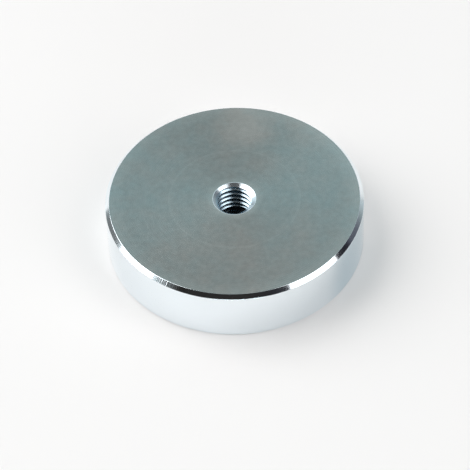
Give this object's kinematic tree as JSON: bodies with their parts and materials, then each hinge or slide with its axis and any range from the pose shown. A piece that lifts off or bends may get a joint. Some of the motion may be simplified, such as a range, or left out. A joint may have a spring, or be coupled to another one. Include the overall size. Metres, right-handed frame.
{
  "type": "threaded pot magnet",
  "caption": "Flat round pot magnet: a zinc-plated steel cup with a tapped hole in its floor and a magnet disc potted in the open side, which grips steel.",
  "frame": {"origin": "middle of the rim plane, where the magnet's working side rests", "axes": "+Z along the axis of the tapped hole, out of its mouth; the part is round, so X and Y are free"},
  "size_m": [0.063, 0.063, 0.014],
  "materials": {
    "zinc_plated_steel": "turned and zinc plated, satin back, bright side",
    "nickel_plated_magnet": "nickel plated, bright",
    "black_resin": "poured and cured, semi-gloss"
  },
  "bodies": {
    "root": {"steel_pot": "zinc_plated_steel", "magnet_disc": "nickel_plated_magnet", "potting_resin": "black_resin"}
  },
  "joints": []
}
